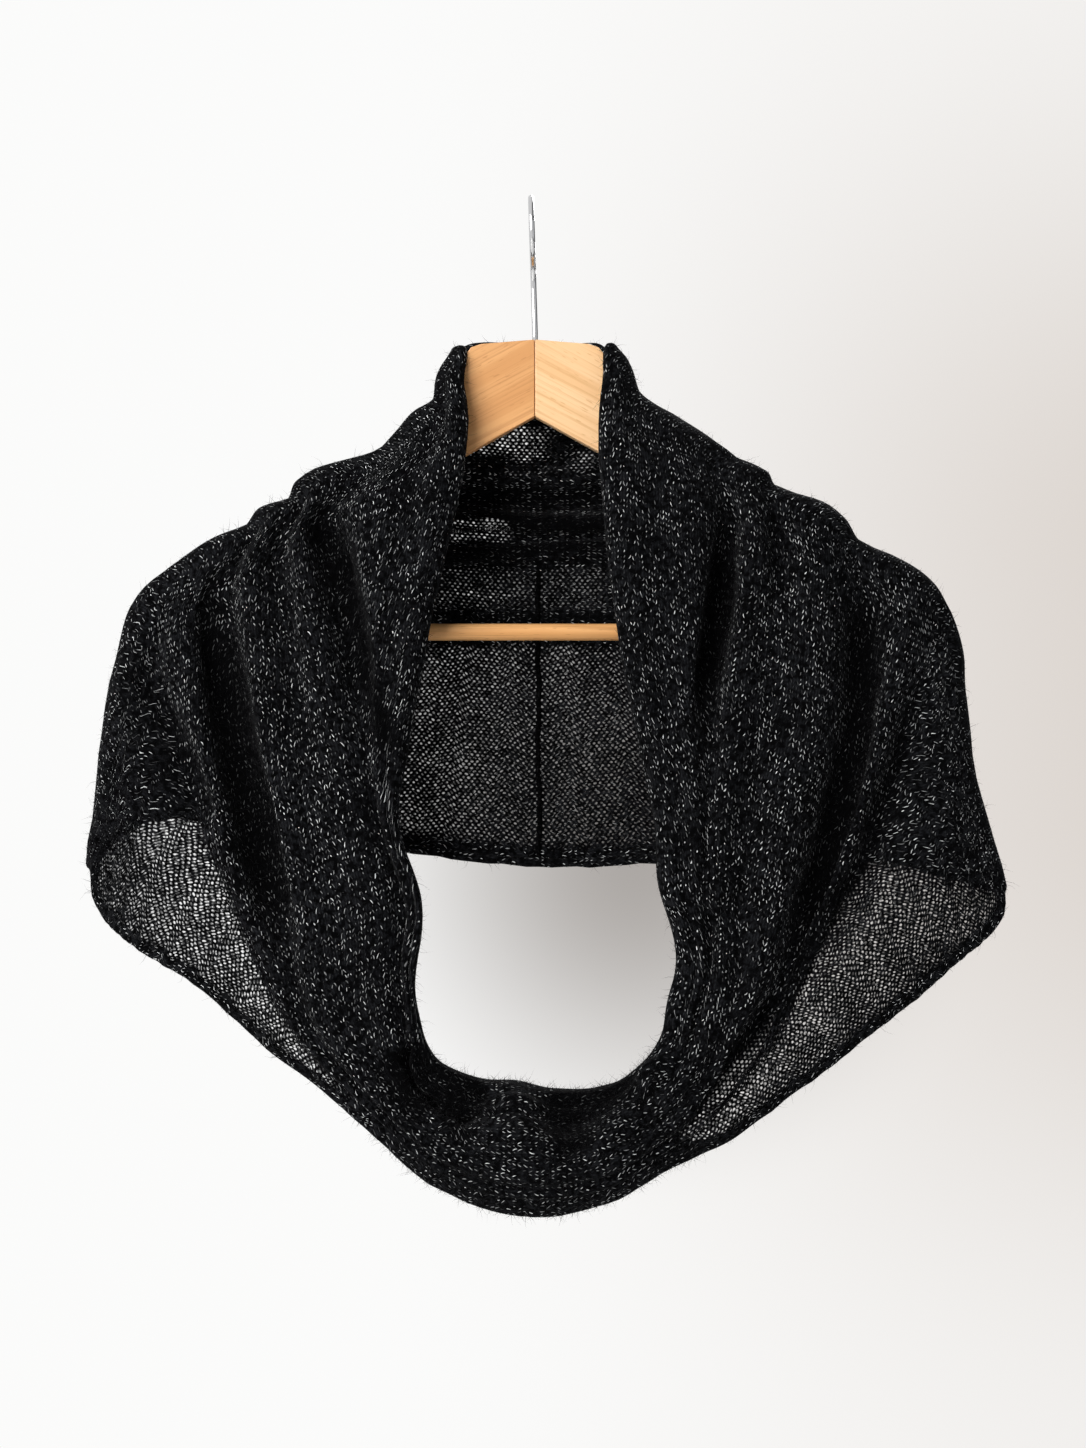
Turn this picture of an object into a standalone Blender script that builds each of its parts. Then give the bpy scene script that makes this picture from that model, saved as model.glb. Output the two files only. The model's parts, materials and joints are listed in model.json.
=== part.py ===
# Infinity scarf, worn over a wooden hanger as a short cape.
# Metres, +Z up. The front faces -Y and +X is the right side of the view.
# The origin is the top inside the hook, where the hanger hangs from its rod.

import math
import bpy
import bmesh
import numpy as np
from mathutils import Vector

mm = 0.001

# Knitted wall, in millimetres
wallThickness = 2.4
hemThickness = 4.6
hemBand = 7.0
seamGap = 0.3
columnStep = 30.0
stepsPerFold = 2
rollSteps = 4
pathSteps = 12
tiny = 1e-6
rollTurn = math.radians(165)

# Half of the loop from the centre back to the centre front, a row for each section.
# Each section runs across the band: neck, collar, shoulder, side, hem, as x, y, z.
# The last number is the radius of the rolled neck edge.
pointsAcross = 5
centreBack = [(2, 24, -80), (2, 25, -104), (2, 26, -166), (2, 26, -272), (2, 24, -387), 5]
centreFront = [(4, -16, -510), (4, -42, -523), (5, -55, -543), (5, -50, -565), (5, -38, -582), 6]

leftSections = {
    "back": [(-20, 24, -79), (-24, 24, -105), (-45, 24, -172), (-72, 24, -277), (-95, 24, -376), 5],
    "backShoulder": [(-37, 17, -81), (-43, 15, -120), (-106, 15, -198), (-172, 19, -280), (-190, 22, -364), 3],
    "crest": [(-45, 0, -84), (-52, 0, -122), (-134, 0, -177), (-227, 0, -252), (-257, 0, -387), 2.5],
    "upperFront": [(-35, -26, -141), (-52, -28, -154), (-131, -21, -203), (-217, -15, -276), (-245, -11, -412), 6],
    "chest": [(-57, -32, -261), (-77, -34, -271), (-149, -28, -314), (-210, -21, -368), (-229, -15, -427), 8],
    "waist": [(-72, -34, -375), (-89, -36, -384), (-132, -32, -405), (-167, -24, -430), (-190, -16, -451), 8],
    "lower": [(-61, -32, -454), (-72, -36, -461), (-95, -38, -474), (-115, -32, -486), (-135, -22, -494), 7],
    "cowlCorner": [(-52, -24, -497), (-56, -40, -508), (-62, -46, -522), (-68, -42, -536), (-77, -32, -546), 6],
    "cowl": [(-23, -18, -508), (-24, -42, -522), (-26, -52, -541), (-28, -48, -561), (-30, -36, -576), 6],
}

rightSections = {
    "back": [(25, 24, -80), (29, 24, -105), (49, 24, -172), (77, 24, -277), (99, 24, -384), 5],
    "backShoulder": [(41, 17, -81), (46, 15, -118), (110, 15, -194), (180, 19, -275), (196, 22, -382), 3],
    "crest": [(49, 0, -83), (58, 0, -111), (144, 0, -174), (236, 0, -246), (276, 0, -400), 2],
    "upperFront": [(38, -26, -141), (57, -28, -152), (139, -21, -206), (229, -15, -275), (264, -11, -421), 6],
    "chest": [(49, -32, -261), (71, -34, -274), (154, -28, -315), (216, -21, -380), (243, -15, -440), 8],
    "waist": [(70, -34, -372), (91, -36, -382), (142, -32, -412), (180, -24, -444), (205, -16, -472), 8],
    "lower": [(81, -32, -452), (96, -36, -462), (116, -38, -477), (134, -32, -495), (150, -22, -510), 7],
    "cowlCorner": [(67, -24, -500), (71, -40, -511), (74, -46, -525), (78, -42, -540), (82, -32, -552), 6],
    "cowl": [(38, -18, -510), (39, -42, -522), (41, -52, -541), (44, -48, -560), (46, -36, -574), 6],
}

# The turn over the arm lies this far in front of the crest and behind it
turnDepth = 11.0
turnDrop = 5.0
turnShare = (0.9, 1.15, 1.1, 1.1, 0.9)

# Folds, a row for each ridge or valley line from the neck edge to the hem.
# where: share of the band's width at the centre back, crest, upper front, chest,
# waist, lower front, cowl corner and centre front.
# rise: height in millimetres at the centre back, crest, upper front, waist and cowl.
placeColumns = (0, 4, 6, 7, 8, 9, 10, 12)
riseColumns = (0, 4, 6, 8, 11)

leftFolds = {
    "neck edge": {"where": (0, 0, 0, 0, 0, 0, 0, 0), "rise": (0, 0, 0, 0, 0)},
    "collar ridge": {"where": (.03, .03, .03, .03, .035, .05, .07, .07), "rise": (2, 2, 2, 1, 1)},
    "collar valley": {"where": (.10, .09, .093, .08, .07, .10, .14, .14), "rise": (-3, 2, -3, 0, 0)},
    "second ridge": {"where": (.17, .13, .145, .12, .11, .15, .21, .21), "rise": (3, 5, 3, 2, 1)},
    "neck valley": {"where": (.25, .20, .248, .175, .15, .20, .29, .29), "rise": (-4, 3, -5, -2, -5)},
    "main ridge": {"where": (.30, .281, .315, .26, .21, .30, .45, .45), "rise": (4, 8, 6, 5, 4)},
    "shoulder valley": {"where": (.335, .33, .355, .34, .36, .46, .59, .59), "rise": (-3, 2, -3, -1, 0)},
    "shoulder ridge": {"where": (.37, .38, .405, .425, .503, .68, .73, .73), "rise": (3, 7, 5, 4, 2)},
    "long valley": {"where": (.41, .43, .459, .50, .571, .75, .80, .80), "rise": (-2, 3, -5, -4, -1)},
    "long ridge": {"where": (.46, .475, .513, .589, .671, .82, .86, .86), "rise": (2, 8, 4, 2, 1)},
    "side valley": {"where": (.52, .559, .609, .65, .75, .88, .91, .91), "rise": (-2, 4, -4, -3, -1)},
    "side ridge": {"where": (.65, .70, .75, .80, .86, .94, .96, .96), "rise": (1, 5, 3, 1, 0)},
    "hem": {"where": (1, 1, 1, 1, 1, 1, 1, 1), "rise": (0, 0, 0, 0, 0)},
}

rightFolds = {
    "neck edge": {"where": (0, 0, 0, 0, 0, 0, 0, 0), "rise": (0, 0, 0, 0, 0)},
    "collar ridge": {"where": (.03, .025, .03, .036, .04, .05, .07, .07), "rise": (2, 2, 2, 1, 1)},
    "collar valley": {"where": (.10, .075, .092, .085, .08, .10, .14, .14), "rise": (-3, 2, -3, 0, 0)},
    "second ridge": {"where": (.17, .146, .155, .145, .125, .14, .21, .21), "rise": (3, 5, 3, 3, 1)},
    "neck valley": {"where": (.25, .20, .228, .208, .165, .18, .28, .29), "rise": (-4, 3, -5, -3, -5)},
    "main ridge": {"where": (.30, .245, .285, .26, .22, .27, .43, .45), "rise": (4, 7, 6, 5, 4)},
    "shoulder valley": {"where": (.335, .29, .32, .32, .31, .36, .53, .59), "rise": (-3, 2, -3, -2, 0)},
    "shoulder ridge": {"where": (.37, .373, .395, .439, .44, .46, .65, .73), "rise": (3, 7, 4, 4, 2)},
    "long valley": {"where": (.41, .42, .475, .54, .57, .61, .73, .80), "rise": (-2, 3, -5, -4, -1)},
    "long ridge": {"where": (.46, .488, .545, .60, .63, .68, .79, .86), "rise": (2, 7, 4, 3, 1)},
    "side valley": {"where": (.52, .575, .61, .665, .69, .75, .85, .91), "rise": (-2, 4, -4, -4, -1)},
    "side ridge": {"where": (.65, .72, .76, .80, .82, .88, .93, .96), "rise": (1, 5, 3, 2, 0)},
    "hem": {"where": (1, 1, 1, 1, 1, 1, 1, 1), "rise": (0, 0, 0, 0, 0)},
}

sectionNames = ("back", "backShoulder", "crest", "upperFront", "chest", "waist", "lower", "cowlCorner", "cowl")
halfLoop = 12
crestColumn = 4
cowlColumn = 10

# Centre back seam, a narrow ridge inside the loop
seamWidth = 3.4
seamHeight = 1.6
seamStart = 2

# Hanger, in millimetres. The outline is the left half, x from the mitre outwards.
mitreX = 2.3
woodThickness = 13.0
woodEdge = 1.6
armOutline = [
    (0, -81), (31, -83.5), (37, -85.5), (40, -89.5), (41, -99), (45, -114), (53, -129),
    (136, -182), (192, -221), (216, -240), (223, -250), (222, -258), (216, -262), (210, -261),
    (208, -257), (208, -244), (204, -241), (192, -236), (122, -196), (37, -146), (0, -125.5),
]
barRadius = 4.9
barHeight = -250.0
barReach = 208.0

# Hook
wireRadius = 1.7
hookRadius = 18.0
hookTurn = math.radians(150)
hookTail = math.radians(-105)
hookSteps = 22
counterSteps = 8
stemDepth = 20.0
woodTop = -81.0
straightFrom = -76.0


def removeObjects():
    for thing in list(bpy.data.objects):
        bpy.data.objects.remove(thing, do_unlink=True)


def makeMaterial(name, colour, roughness, metallic=0.0):
    material = bpy.data.materials.new(name)
    material.use_nodes = True
    shader = material.node_tree.nodes["Principled BSDF"]
    shader.inputs["Base Color"].default_value = (*colour, 1)
    shader.inputs["Roughness"].default_value = roughness
    shader.inputs["Metallic"].default_value = metallic
    material.diffuse_color = (*colour, 1)
    return material


def unit(vectors):
    return vectors / np.maximum(np.linalg.norm(vectors, axis=-1, keepdims=True), tiny)


# Point on the centripetal spline between the second and third of four points
def splinePoint(before, start, end, after, fraction):
    first = np.sqrt(np.linalg.norm(start - before, axis=-1, keepdims=True)) + tiny
    second = first + np.sqrt(np.linalg.norm(end - start, axis=-1, keepdims=True)) + tiny
    third = second + np.sqrt(np.linalg.norm(after - end, axis=-1, keepdims=True)) + tiny
    here = first + (second - first) * fraction
    nearStart = before + (start - before) * here / first
    middle = start + (end - start) * (here - first) / (second - first)
    nearEnd = end + (after - end) * (here - second) / (third - second)
    low = nearStart + (middle - nearStart) * here / second
    high = middle + (nearEnd - middle) * (here - first) / (third - first)
    return low + (high - low) * (here - first) / (second - first)


# Smooth value between the knots that never passes them
def easeBetween(knots, values, place):
    index = min(max(int(np.searchsorted(knots, place, side="right")) - 1, 0), len(knots) - 2)
    slopes = np.diff(values) / np.diff(knots)

    def tangent(knot):
        if knot == 0 or knot == len(knots) - 1:
            return 0.0
        left, right = slopes[knot - 1], slopes[knot]
        return 0.0 if left * right <= 0 else 2 * left * right / (left + right)

    width = knots[index + 1] - knots[index]
    f = (place - knots[index]) / width
    rise = tangent(index) * width
    fall = tangent(index + 1) * width
    start, end = values[index], values[index + 1]
    return (start * (2 * f ** 3 - 3 * f ** 2 + 1) + rise * (f ** 3 - 2 * f ** 2 + f)
            + end * (3 * f ** 2 - 2 * f ** 3) + fall * (f ** 3 - f ** 2))


# Sections beside the crest, so that the cloth turns round the arm
def turnSection(crest, side):
    points = np.array(crest[:pointsAcross], float)
    along = unit(np.gradient(points, axis=0))
    inward = np.stack([along[:, 2], np.zeros(pointsAcross), -along[:, 0]], axis=1)
    inward *= np.sign(-inward[:, 0] * points[:, 0])[:, None]
    share = np.array(turnShare)[:, None]
    moved = points + inward * turnDrop * share + np.array([0, side * turnDepth, 0]) * share
    return moved, crest[-1]


def halfSections(table):
    rows = [(np.array(centreBack[:pointsAcross], float), centreBack[-1])]
    for name in sectionNames:
        row = table[name]
        if name == "crest":
            rows.append(turnSection(row, 1))
        rows.append((np.array(row[:pointsAcross], float), row[-1]))
        if name == "crest":
            rows.append(turnSection(row, -1))
    rows.append((np.array(centreFront[:pointsAcross], float), centreFront[-1]))
    return rows


# The closed ring of sections: centre front, up the left side, centre back, down the right
def ringSections():
    left = halfSections(leftSections)
    right = halfSections(rightSections)
    ring = left[::-1] + right[1:-1]
    return np.array([row[0] for row in ring]), np.array([row[1] for row in ring], float)


def columnPlaces(ring):
    places = []
    for index in range(len(ring)):
        gap = np.linalg.norm(ring[(index + 1) % len(ring)] - ring[index], axis=1).max()
        steps = max(2, round(gap / columnStep))
        places += [index + step / steps for step in range(steps)]
    return places


# Fold rows at one place round the loop: share of the width and height at each mesh row
def foldRows(place):
    half = abs(halfLoop - place)
    table = leftFolds if place < halfLoop else rightFolds
    shares = [easeBetween(placeColumns, fold["where"], half) for fold in table.values()]
    rises = [easeBetween(riseColumns, fold["rise"], min(half, riseColumns[-1])) for fold in table.values()]
    rows = [(shares[0], rises[0])]
    for index in range(len(shares) - 1):
        up = rises[index + 1] > rises[index]
        for step in range(1, stepsPerFold + 1):
            f = step / stepsPerFold
            crease = math.sin(f * math.pi / 2) if up else 1 - math.cos(f * math.pi / 2)
            wave = f * f * (3 - 2 * f)
            weight = (crease + wave) / 2
            rows.append((shares[index] + (shares[index + 1] - shares[index]) * f,
                         rises[index] + (rises[index + 1] - rises[index]) * weight))
    return np.array(rows)


# Smooth path through the five points of a section, read at shares of its length
def readSection(points, skip, shares):
    ends = np.vstack([2 * points[0] - points[1], points, 2 * points[-1] - points[-2]])
    samples = [splinePoint(*ends[k:k + 4], f)
               for k in range(pointsAcross - 1) for f in np.linspace(0, 1, pathSteps, endpoint=False)]
    path = np.array(samples + [points[-1]])
    length = np.concatenate([[0], np.cumsum(np.linalg.norm(np.diff(path, axis=0), axis=1))])
    wanted = skip + shares * (length[-1] - skip)
    return np.stack([np.interp(wanted, length, path[:, axis]) for axis in range(3)], axis=1)


# Middle surface of the knitted band, its outward normals and half its thickness
def bandSurface():
    ring, radii = ringSections()
    count = len(ring)
    places = columnPlaces(ring)
    base, rises, rolls = [], [], []
    for place in places:
        index = int(place)
        four = [ring[(index + offset) % count] for offset in (-1, 0, 1, 2)]
        section = splinePoint(*four, place - index)
        radius = radii[index] + (radii[(index + 1) % count] - radii[index]) * (place - index)
        rows = foldRows(place)
        base.append(readSection(section, radius, rows[:, 0]))
        rises.append(rows[:, 1])
        rolls.append(radius)
    base, rises, rolls = np.array(base), np.array(rises), np.array(rolls)
    normals = surfaceNormals(base)
    lifted = base + normals * rises[..., None]
    along = unit(base[:, 1] - base[:, 0])
    centre = base[:, 0] - normals[:, 0] * rolls[:, None]
    turned = []
    for step in range(rollSteps, 0, -1):
        angle = rollTurn * step / rollSteps
        offset = -math.sin(angle) * along + math.cos(angle) * normals[:, 0]
        turned.append(centre + offset * rolls[:, None])
    surface = np.concatenate([np.stack(turned, axis=1), lifted], axis=1)
    normals = surfaceNormals(surface)
    fromHem = np.linalg.norm(surface - surface[:, -1:], axis=2)
    bead = np.clip(1 - fromHem / hemBand, 0, 1)
    half = (wallThickness + (hemThickness - wallThickness) * np.sqrt(bead)) / 2
    return places, surface, normals, half


def surfaceNormals(grid):
    around = np.roll(grid, -1, axis=0) - np.roll(grid, 1, axis=0)
    across = np.gradient(grid, axis=1)
    return unit(np.cross(around, across))


# Closed wall between two places round the loop, a loft through the columns between them
def makeWall(name, band, start, end, material, collection):
    places, surface, normals, half = band
    count = len(places)
    order = [index for index in range(count) if start - tiny <= places[index] <= end + tiny]
    if end > places[-1]:
        order += [index for index in range(count) if places[index] <= end - 2 * halfLoop + tiny]
    grid = surface[order].copy()
    grid[0] += unit(grid[1] - grid[0]) * seamGap / 2
    grid[-1] += unit(grid[-2] - grid[-1]) * seamGap / 2
    lift = normals[order] * half[order][..., None]
    hemOut = unit(grid[:, -1] - grid[:, -2]) * half[order][:, -1:]
    section = np.concatenate([grid + lift, (grid[:, -1] + hemOut)[:, None], (grid - lift)[:, ::-1]], axis=1)
    mesh = bmesh.new()
    rings = [[mesh.verts.new(Vector(point) * mm) for point in row] for row in section]
    size = len(rings[0])
    for first, second in zip(rings, rings[1:]):
        for index in range(size):
            following = (index + 1) % size
            mesh.faces.new((first[index], second[index], second[following], first[following]))
    rows = grid.shape[1]
    for ring, flip in ((rings[0], False), (rings[-1], True)):
        for index in range(rows - 1):
            face = [ring[index], ring[index + 1], ring[size - 2 - index], ring[size - 1 - index]]
            mesh.faces.new(face[::-1] if flip else face)
        tip = [ring[rows - 1], ring[rows], ring[rows + 1]]
        mesh.faces.new(tip[::-1] if flip else tip)
    bmesh.ops.triangulate(mesh, faces=[face for face in mesh.faces if len(face.verts) > 3])
    bmesh.ops.recalc_face_normals(mesh, faces=mesh.faces)
    return addMesh(name, mesh, material, collection)


# Seam allowance: a strip inside the centre back column, clear of the wall
def makeSeam(name, band, material, collection):
    places, surface, normals, half = band
    column = places.index(halfLoop)
    first = rollSteps + seamStart
    points = surface[column, first:]
    inward = -normals[column, first:]
    near = points + inward * (half[column, first:, None] + seamGap)
    far = near + inward * seamHeight
    side = np.array([seamWidth / 2, 0, 0])
    mesh = bmesh.new()
    corners = [near - side, near + side, far + side, far - side]
    rings = [[mesh.verts.new(Vector(edge[row]) * mm) for edge in corners] for row in range(len(points))]
    for above, below in zip(rings, rings[1:]):
        for index in range(4):
            following = (index + 1) % 4
            mesh.faces.new((above[index], above[following], below[following], below[index]))
    mesh.faces.new(rings[0])
    mesh.faces.new(rings[-1][::-1])
    bmesh.ops.triangulate(mesh, faces=mesh.faces)
    bmesh.ops.recalc_face_normals(mesh, faces=mesh.faces)
    return addMesh(name, mesh, material, collection)


def addMesh(name, mesh, material, collection):
    data = bpy.data.meshes.new(name)
    mesh.to_mesh(data)
    mesh.free()
    thing = bpy.data.objects.new(name, data)
    collection.objects.link(thing)
    data.materials.append(material)
    data.shade_smooth()
    return thing


# Mesh object from a curve, with its caps welded
def meshFromCurve(curve, name, material, collection):
    bpy.context.view_layer.update()
    evaluated = curve.evaluated_get(bpy.context.evaluated_depsgraph_get())
    data = bpy.data.meshes.new_from_object(evaluated)
    mesh = bmesh.new()
    mesh.from_mesh(data)
    bmesh.ops.remove_doubles(mesh, verts=mesh.verts, dist=0.01 * mm)
    mesh.to_mesh(data)
    mesh.free()
    thing = bpy.data.objects.new(name, data)
    thing.matrix_world = curve.matrix_world
    collection.objects.link(thing)
    data.materials.clear()
    data.materials.append(material)
    bpy.data.objects.remove(curve, do_unlink=True)
    return thing


# One half of the hanger: a flat board, its outline standing upright
def makeArm(name, side, cutter, material, collection):
    data = bpy.data.curves.new(name + "Outline", "CURVE")
    data.dimensions = "2D"
    data.fill_mode = "BOTH"
    data.extrude = woodThickness / 2 * mm
    spline = data.splines.new("POLY")
    spline.points.add(len(armOutline) - 1)
    for point, (reach, height) in zip(spline.points, armOutline):
        across = mitreX + side * max(reach, seamGap / 2)
        point.co = (across * mm, height * mm, 0, 1)
    spline.use_cyclic_u = True
    curve = bpy.data.objects.new(name + "Outline", data)
    curve.rotation_euler.x = math.radians(90)
    collection.objects.link(curve)
    arm = meshFromCurve(curve, name, material, collection)
    arm.modifiers.new("Stem bore", "BOOLEAN").object = cutter
    bevel = arm.modifiers.new("Eased edges", "BEVEL")
    bevel.width = woodEdge * mm
    bevel.segments = 2
    bevel.limit_method = "ANGLE"
    bevel.angle_limit = math.radians(60)
    return arm


def makeBore(cutters):
    radius = (wireRadius + seamGap) * mm
    depth = 2 * (stemDepth + seamGap) * mm
    bpy.ops.mesh.primitive_cylinder_add(vertices=12, radius=radius, depth=depth)
    bore = bpy.context.active_object
    bore.name = "stemBore"
    bore.location = (mitreX * mm, 0, woodTop * mm)
    bore.hide_render = True
    bore.display_type = "WIRE"
    moveTo(bore, cutters)
    return bore


def makeBar(name, material, collection):
    length = 2 * (barReach - seamGap)
    bpy.ops.mesh.primitive_cylinder_add(vertices=20, radius=barRadius * mm, depth=length * mm)
    bar = bpy.context.active_object
    bar.name = name
    bar.rotation_euler.y = math.radians(90)
    bar.location = (mitreX * mm, 0, barHeight * mm)
    moveTo(bar, collection)
    bar.data.materials.append(material)
    bar.data.shade_smooth()
    bar.data.set_sharp_from_angle(angle=math.radians(40))
    return bar


# Centre line of the hook: an arc over the rod, a counter arc and the straight stem
def hookLine():
    wireArc = hookRadius + wireRadius
    points = []
    for step in range(hookSteps + 1):
        angle = hookTail + (hookTurn - hookTail) * step / hookSteps
        points.append((-wireArc * math.sin(angle), wireArc * math.cos(angle) - hookRadius))
    frontY, frontZ = points[-1]
    sweep = hookTurn - math.pi / 2
    counterArc = -frontY / (1 - math.cos(sweep))
    for step in range(1, counterSteps + 1):
        angle = sweep * (1 - step / counterSteps)
        points.append((-counterArc * (1 - math.cos(angle)),
                       frontZ - counterArc * (math.sin(sweep) - math.sin(angle))))
    points.append((0, straightFrom))
    points.append((0, woodTop - stemDepth))
    return points


def makeHook(name, material, collection):
    line = hookLine()
    data = bpy.data.curves.new(name, "CURVE")
    data.dimensions = "3D"
    data.bevel_depth = wireRadius * mm
    data.bevel_resolution = 2
    data.use_fill_caps = True
    spline = data.splines.new("POLY")
    spline.points.add(len(line) - 1)
    for point, (depth, height) in zip(spline.points, line):
        across = mitreX * min(max(height / straightFrom, 0), 1)
        point.co = (across * mm, depth * mm, height * mm, 1)
    curve = bpy.data.objects.new(name, data)
    collection.objects.link(curve)
    data.materials.append(material)
    return curve


def moveTo(thing, collection):
    for owner in list(thing.users_collection):
        owner.objects.unlink(thing)
    collection.objects.link(thing)


def main():
    removeObjects()
    parts = bpy.data.collections.new("Infinity scarf on a hanger")
    cutters = bpy.data.collections.new("Cutters")
    bpy.context.scene.collection.children.link(parts)
    bpy.context.scene.collection.children.link(cutters)

    knit = makeMaterial("Charcoal tweed knit", (0.022, 0.022, 0.024), 0.95)
    seam = makeMaterial("Dark seam", (0.012, 0.012, 0.013), 0.95)
    warmWood = makeMaterial("Warm wood", (0.62, 0.33, 0.14), 0.45)
    paleWood = makeMaterial("Pale wood", (0.80, 0.52, 0.28), 0.45)
    barWood = makeMaterial("Bar wood", (0.60, 0.34, 0.13), 0.4)
    chrome = makeMaterial("Chrome", (0.75, 0.75, 0.76), 0.12, 1.0)

    band = bandSurface()
    full = 2 * halfLoop
    stretches = {
        "scarf_left_front": (halfLoop - cowlColumn, halfLoop - crestColumn),
        "scarf_left_back": (halfLoop - crestColumn, halfLoop),
        "scarf_right_back": (halfLoop, halfLoop + crestColumn),
        "scarf_right_front": (halfLoop + crestColumn, halfLoop + cowlColumn),
        "scarf_cowl": (halfLoop + cowlColumn, full + halfLoop - cowlColumn),
    }
    for name, (start, end) in stretches.items():
        makeWall(name, band, start, end, knit, parts)
    makeSeam("scarf_back_seam", band, seam, parts)

    bore = makeBore(cutters)
    makeArm("hanger_left_arm", -1, bore, warmWood, parts)
    makeArm("hanger_right_arm", 1, bore, paleWood, parts)
    makeBar("hanger_bar", barWood, parts)
    makeHook("hanger_hook", chrome, parts)


main()
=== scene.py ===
# Brushed tweed infinity scarf hung open over a wooden hanger.
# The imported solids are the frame. The cloth is rebuilt here at stitch scale.
# The front faces -Y, +X is the right of the view, and lengths in the tables are millimetres.

import json
import math
from functools import partial

import bmesh
import bpy
import numpy as np
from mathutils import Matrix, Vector, noise

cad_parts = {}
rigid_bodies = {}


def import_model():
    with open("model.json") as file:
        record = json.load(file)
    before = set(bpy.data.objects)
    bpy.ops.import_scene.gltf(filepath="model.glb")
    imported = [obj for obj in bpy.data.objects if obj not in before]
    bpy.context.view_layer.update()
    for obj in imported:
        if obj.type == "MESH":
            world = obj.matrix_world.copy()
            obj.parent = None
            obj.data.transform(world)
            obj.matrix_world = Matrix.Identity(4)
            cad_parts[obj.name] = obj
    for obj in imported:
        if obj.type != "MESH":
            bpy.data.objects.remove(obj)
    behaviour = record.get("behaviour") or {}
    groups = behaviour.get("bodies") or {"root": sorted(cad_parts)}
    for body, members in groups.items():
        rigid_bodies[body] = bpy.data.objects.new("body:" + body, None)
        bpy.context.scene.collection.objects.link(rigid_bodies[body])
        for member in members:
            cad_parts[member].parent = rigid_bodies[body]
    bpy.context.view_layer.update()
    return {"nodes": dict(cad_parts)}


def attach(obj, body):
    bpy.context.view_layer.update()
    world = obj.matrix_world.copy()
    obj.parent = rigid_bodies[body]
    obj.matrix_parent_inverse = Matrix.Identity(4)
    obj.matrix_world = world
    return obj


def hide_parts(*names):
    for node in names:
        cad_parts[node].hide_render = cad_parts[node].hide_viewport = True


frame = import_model()
mm = 0.001
tiny = 1e-6
sameSpot = 0.02 * mm  # points this close are merged


def unit(vectors):
    return vectors / np.maximum(np.linalg.norm(vectors, axis=-1, keepdims=True), tiny)


def mix(first, second, share):
    return first + (second - first) * share


def smooth(low, high, value):
    share = np.clip((value - low) / (high - low), 0, 1)
    return share * share * (3 - 2 * share)


# Centripetal spline between the second and third of four points
def splinePoint(before, start, end, after, fraction):
    first, second, third = np.cumsum([np.sqrt(np.linalg.norm(step, axis=-1, keepdims=True)) + tiny
                                      for step in (start - before, end - start, after - end)], axis=0)
    here = mix(first, second, fraction)
    share = (here - first) / (second - first)
    nearStart = mix(before, start, here / first)
    middle = mix(start, end, share)
    nearEnd = mix(end, after, (here - second) / (third - second))
    low = mix(nearStart, middle, here / second)
    high = mix(middle, nearEnd, (here - first) / (third - first))
    return mix(low, high, share)


# Values between knots, with flat turns at every high and low, for a whole row of places
def easeBetween(knots, values, places):
    knots, values = np.array(knots, float), np.array(values, float)
    slopes = np.diff(values) / np.diff(knots)
    tangents = np.zeros(len(knots))
    left, right = slopes[:-1], slopes[1:]
    bothWays = left * right > 0
    tangents[1:-1][bothWays] = (2 * left * right)[bothWays] / (left + right)[bothWays]
    index = np.clip(np.searchsorted(knots, places, side="right") - 1, 0, len(knots) - 2)
    width = knots[index + 1] - knots[index]
    f = np.clip((places - knots[index]) / width, 0, 1)
    start, end = values[index], values[index + 1]
    return (start * (2 * f ** 3 - 3 * f ** 2 + 1) + tangents[index] * width * (f ** 3 - 2 * f ** 2 + f)
            + end * (3 * f ** 2 - 2 * f ** 3) + tangents[index + 1] * width * (f ** 3 - f ** 2))


# Length travelled along the rows or columns of points, from 0
def travelled(points, axis=0):
    length = np.cumsum(np.linalg.norm(np.diff(points, axis=axis), axis=-1), axis=axis)
    return np.concatenate([np.zeros_like(np.take(length, [0], axis=axis)), length], axis=axis)


def addObject(name, data):
    thing = bpy.data.objects.new(name, data)
    bpy.context.scene.collection.objects.link(thing)
    return thing


def meshData(mesh, name):
    data = bpy.data.meshes.new(name)
    mesh.to_mesh(data)
    mesh.free()
    return data


# A grid of faces on columns and rows of points, and the column and row of each vertex
def gridData(name, points):
    columns, rows = points.shape[0] - 1, points.shape[1] - 1
    mesh = bmesh.new()
    bmesh.ops.create_grid(mesh, x_segments=columns, y_segments=rows, size=1)
    data = meshData(mesh, name)
    row, column = np.divmod(np.arange(len(data.vertices)), columns + 1)
    data.vertices.foreach_set("co", (points[column, row] * mm).ravel())
    return data, column, row


# The mesh of an object with its modifiers or its bevel made
def evaluatedMesh(thing):
    bpy.context.view_layer.update()
    return bpy.data.meshes.new_from_object(thing.evaluated_get(bpy.context.evaluated_depsgraph_get()))


def setMaterial(data, material):
    data.materials.clear()
    data.materials.append(material)


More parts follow.
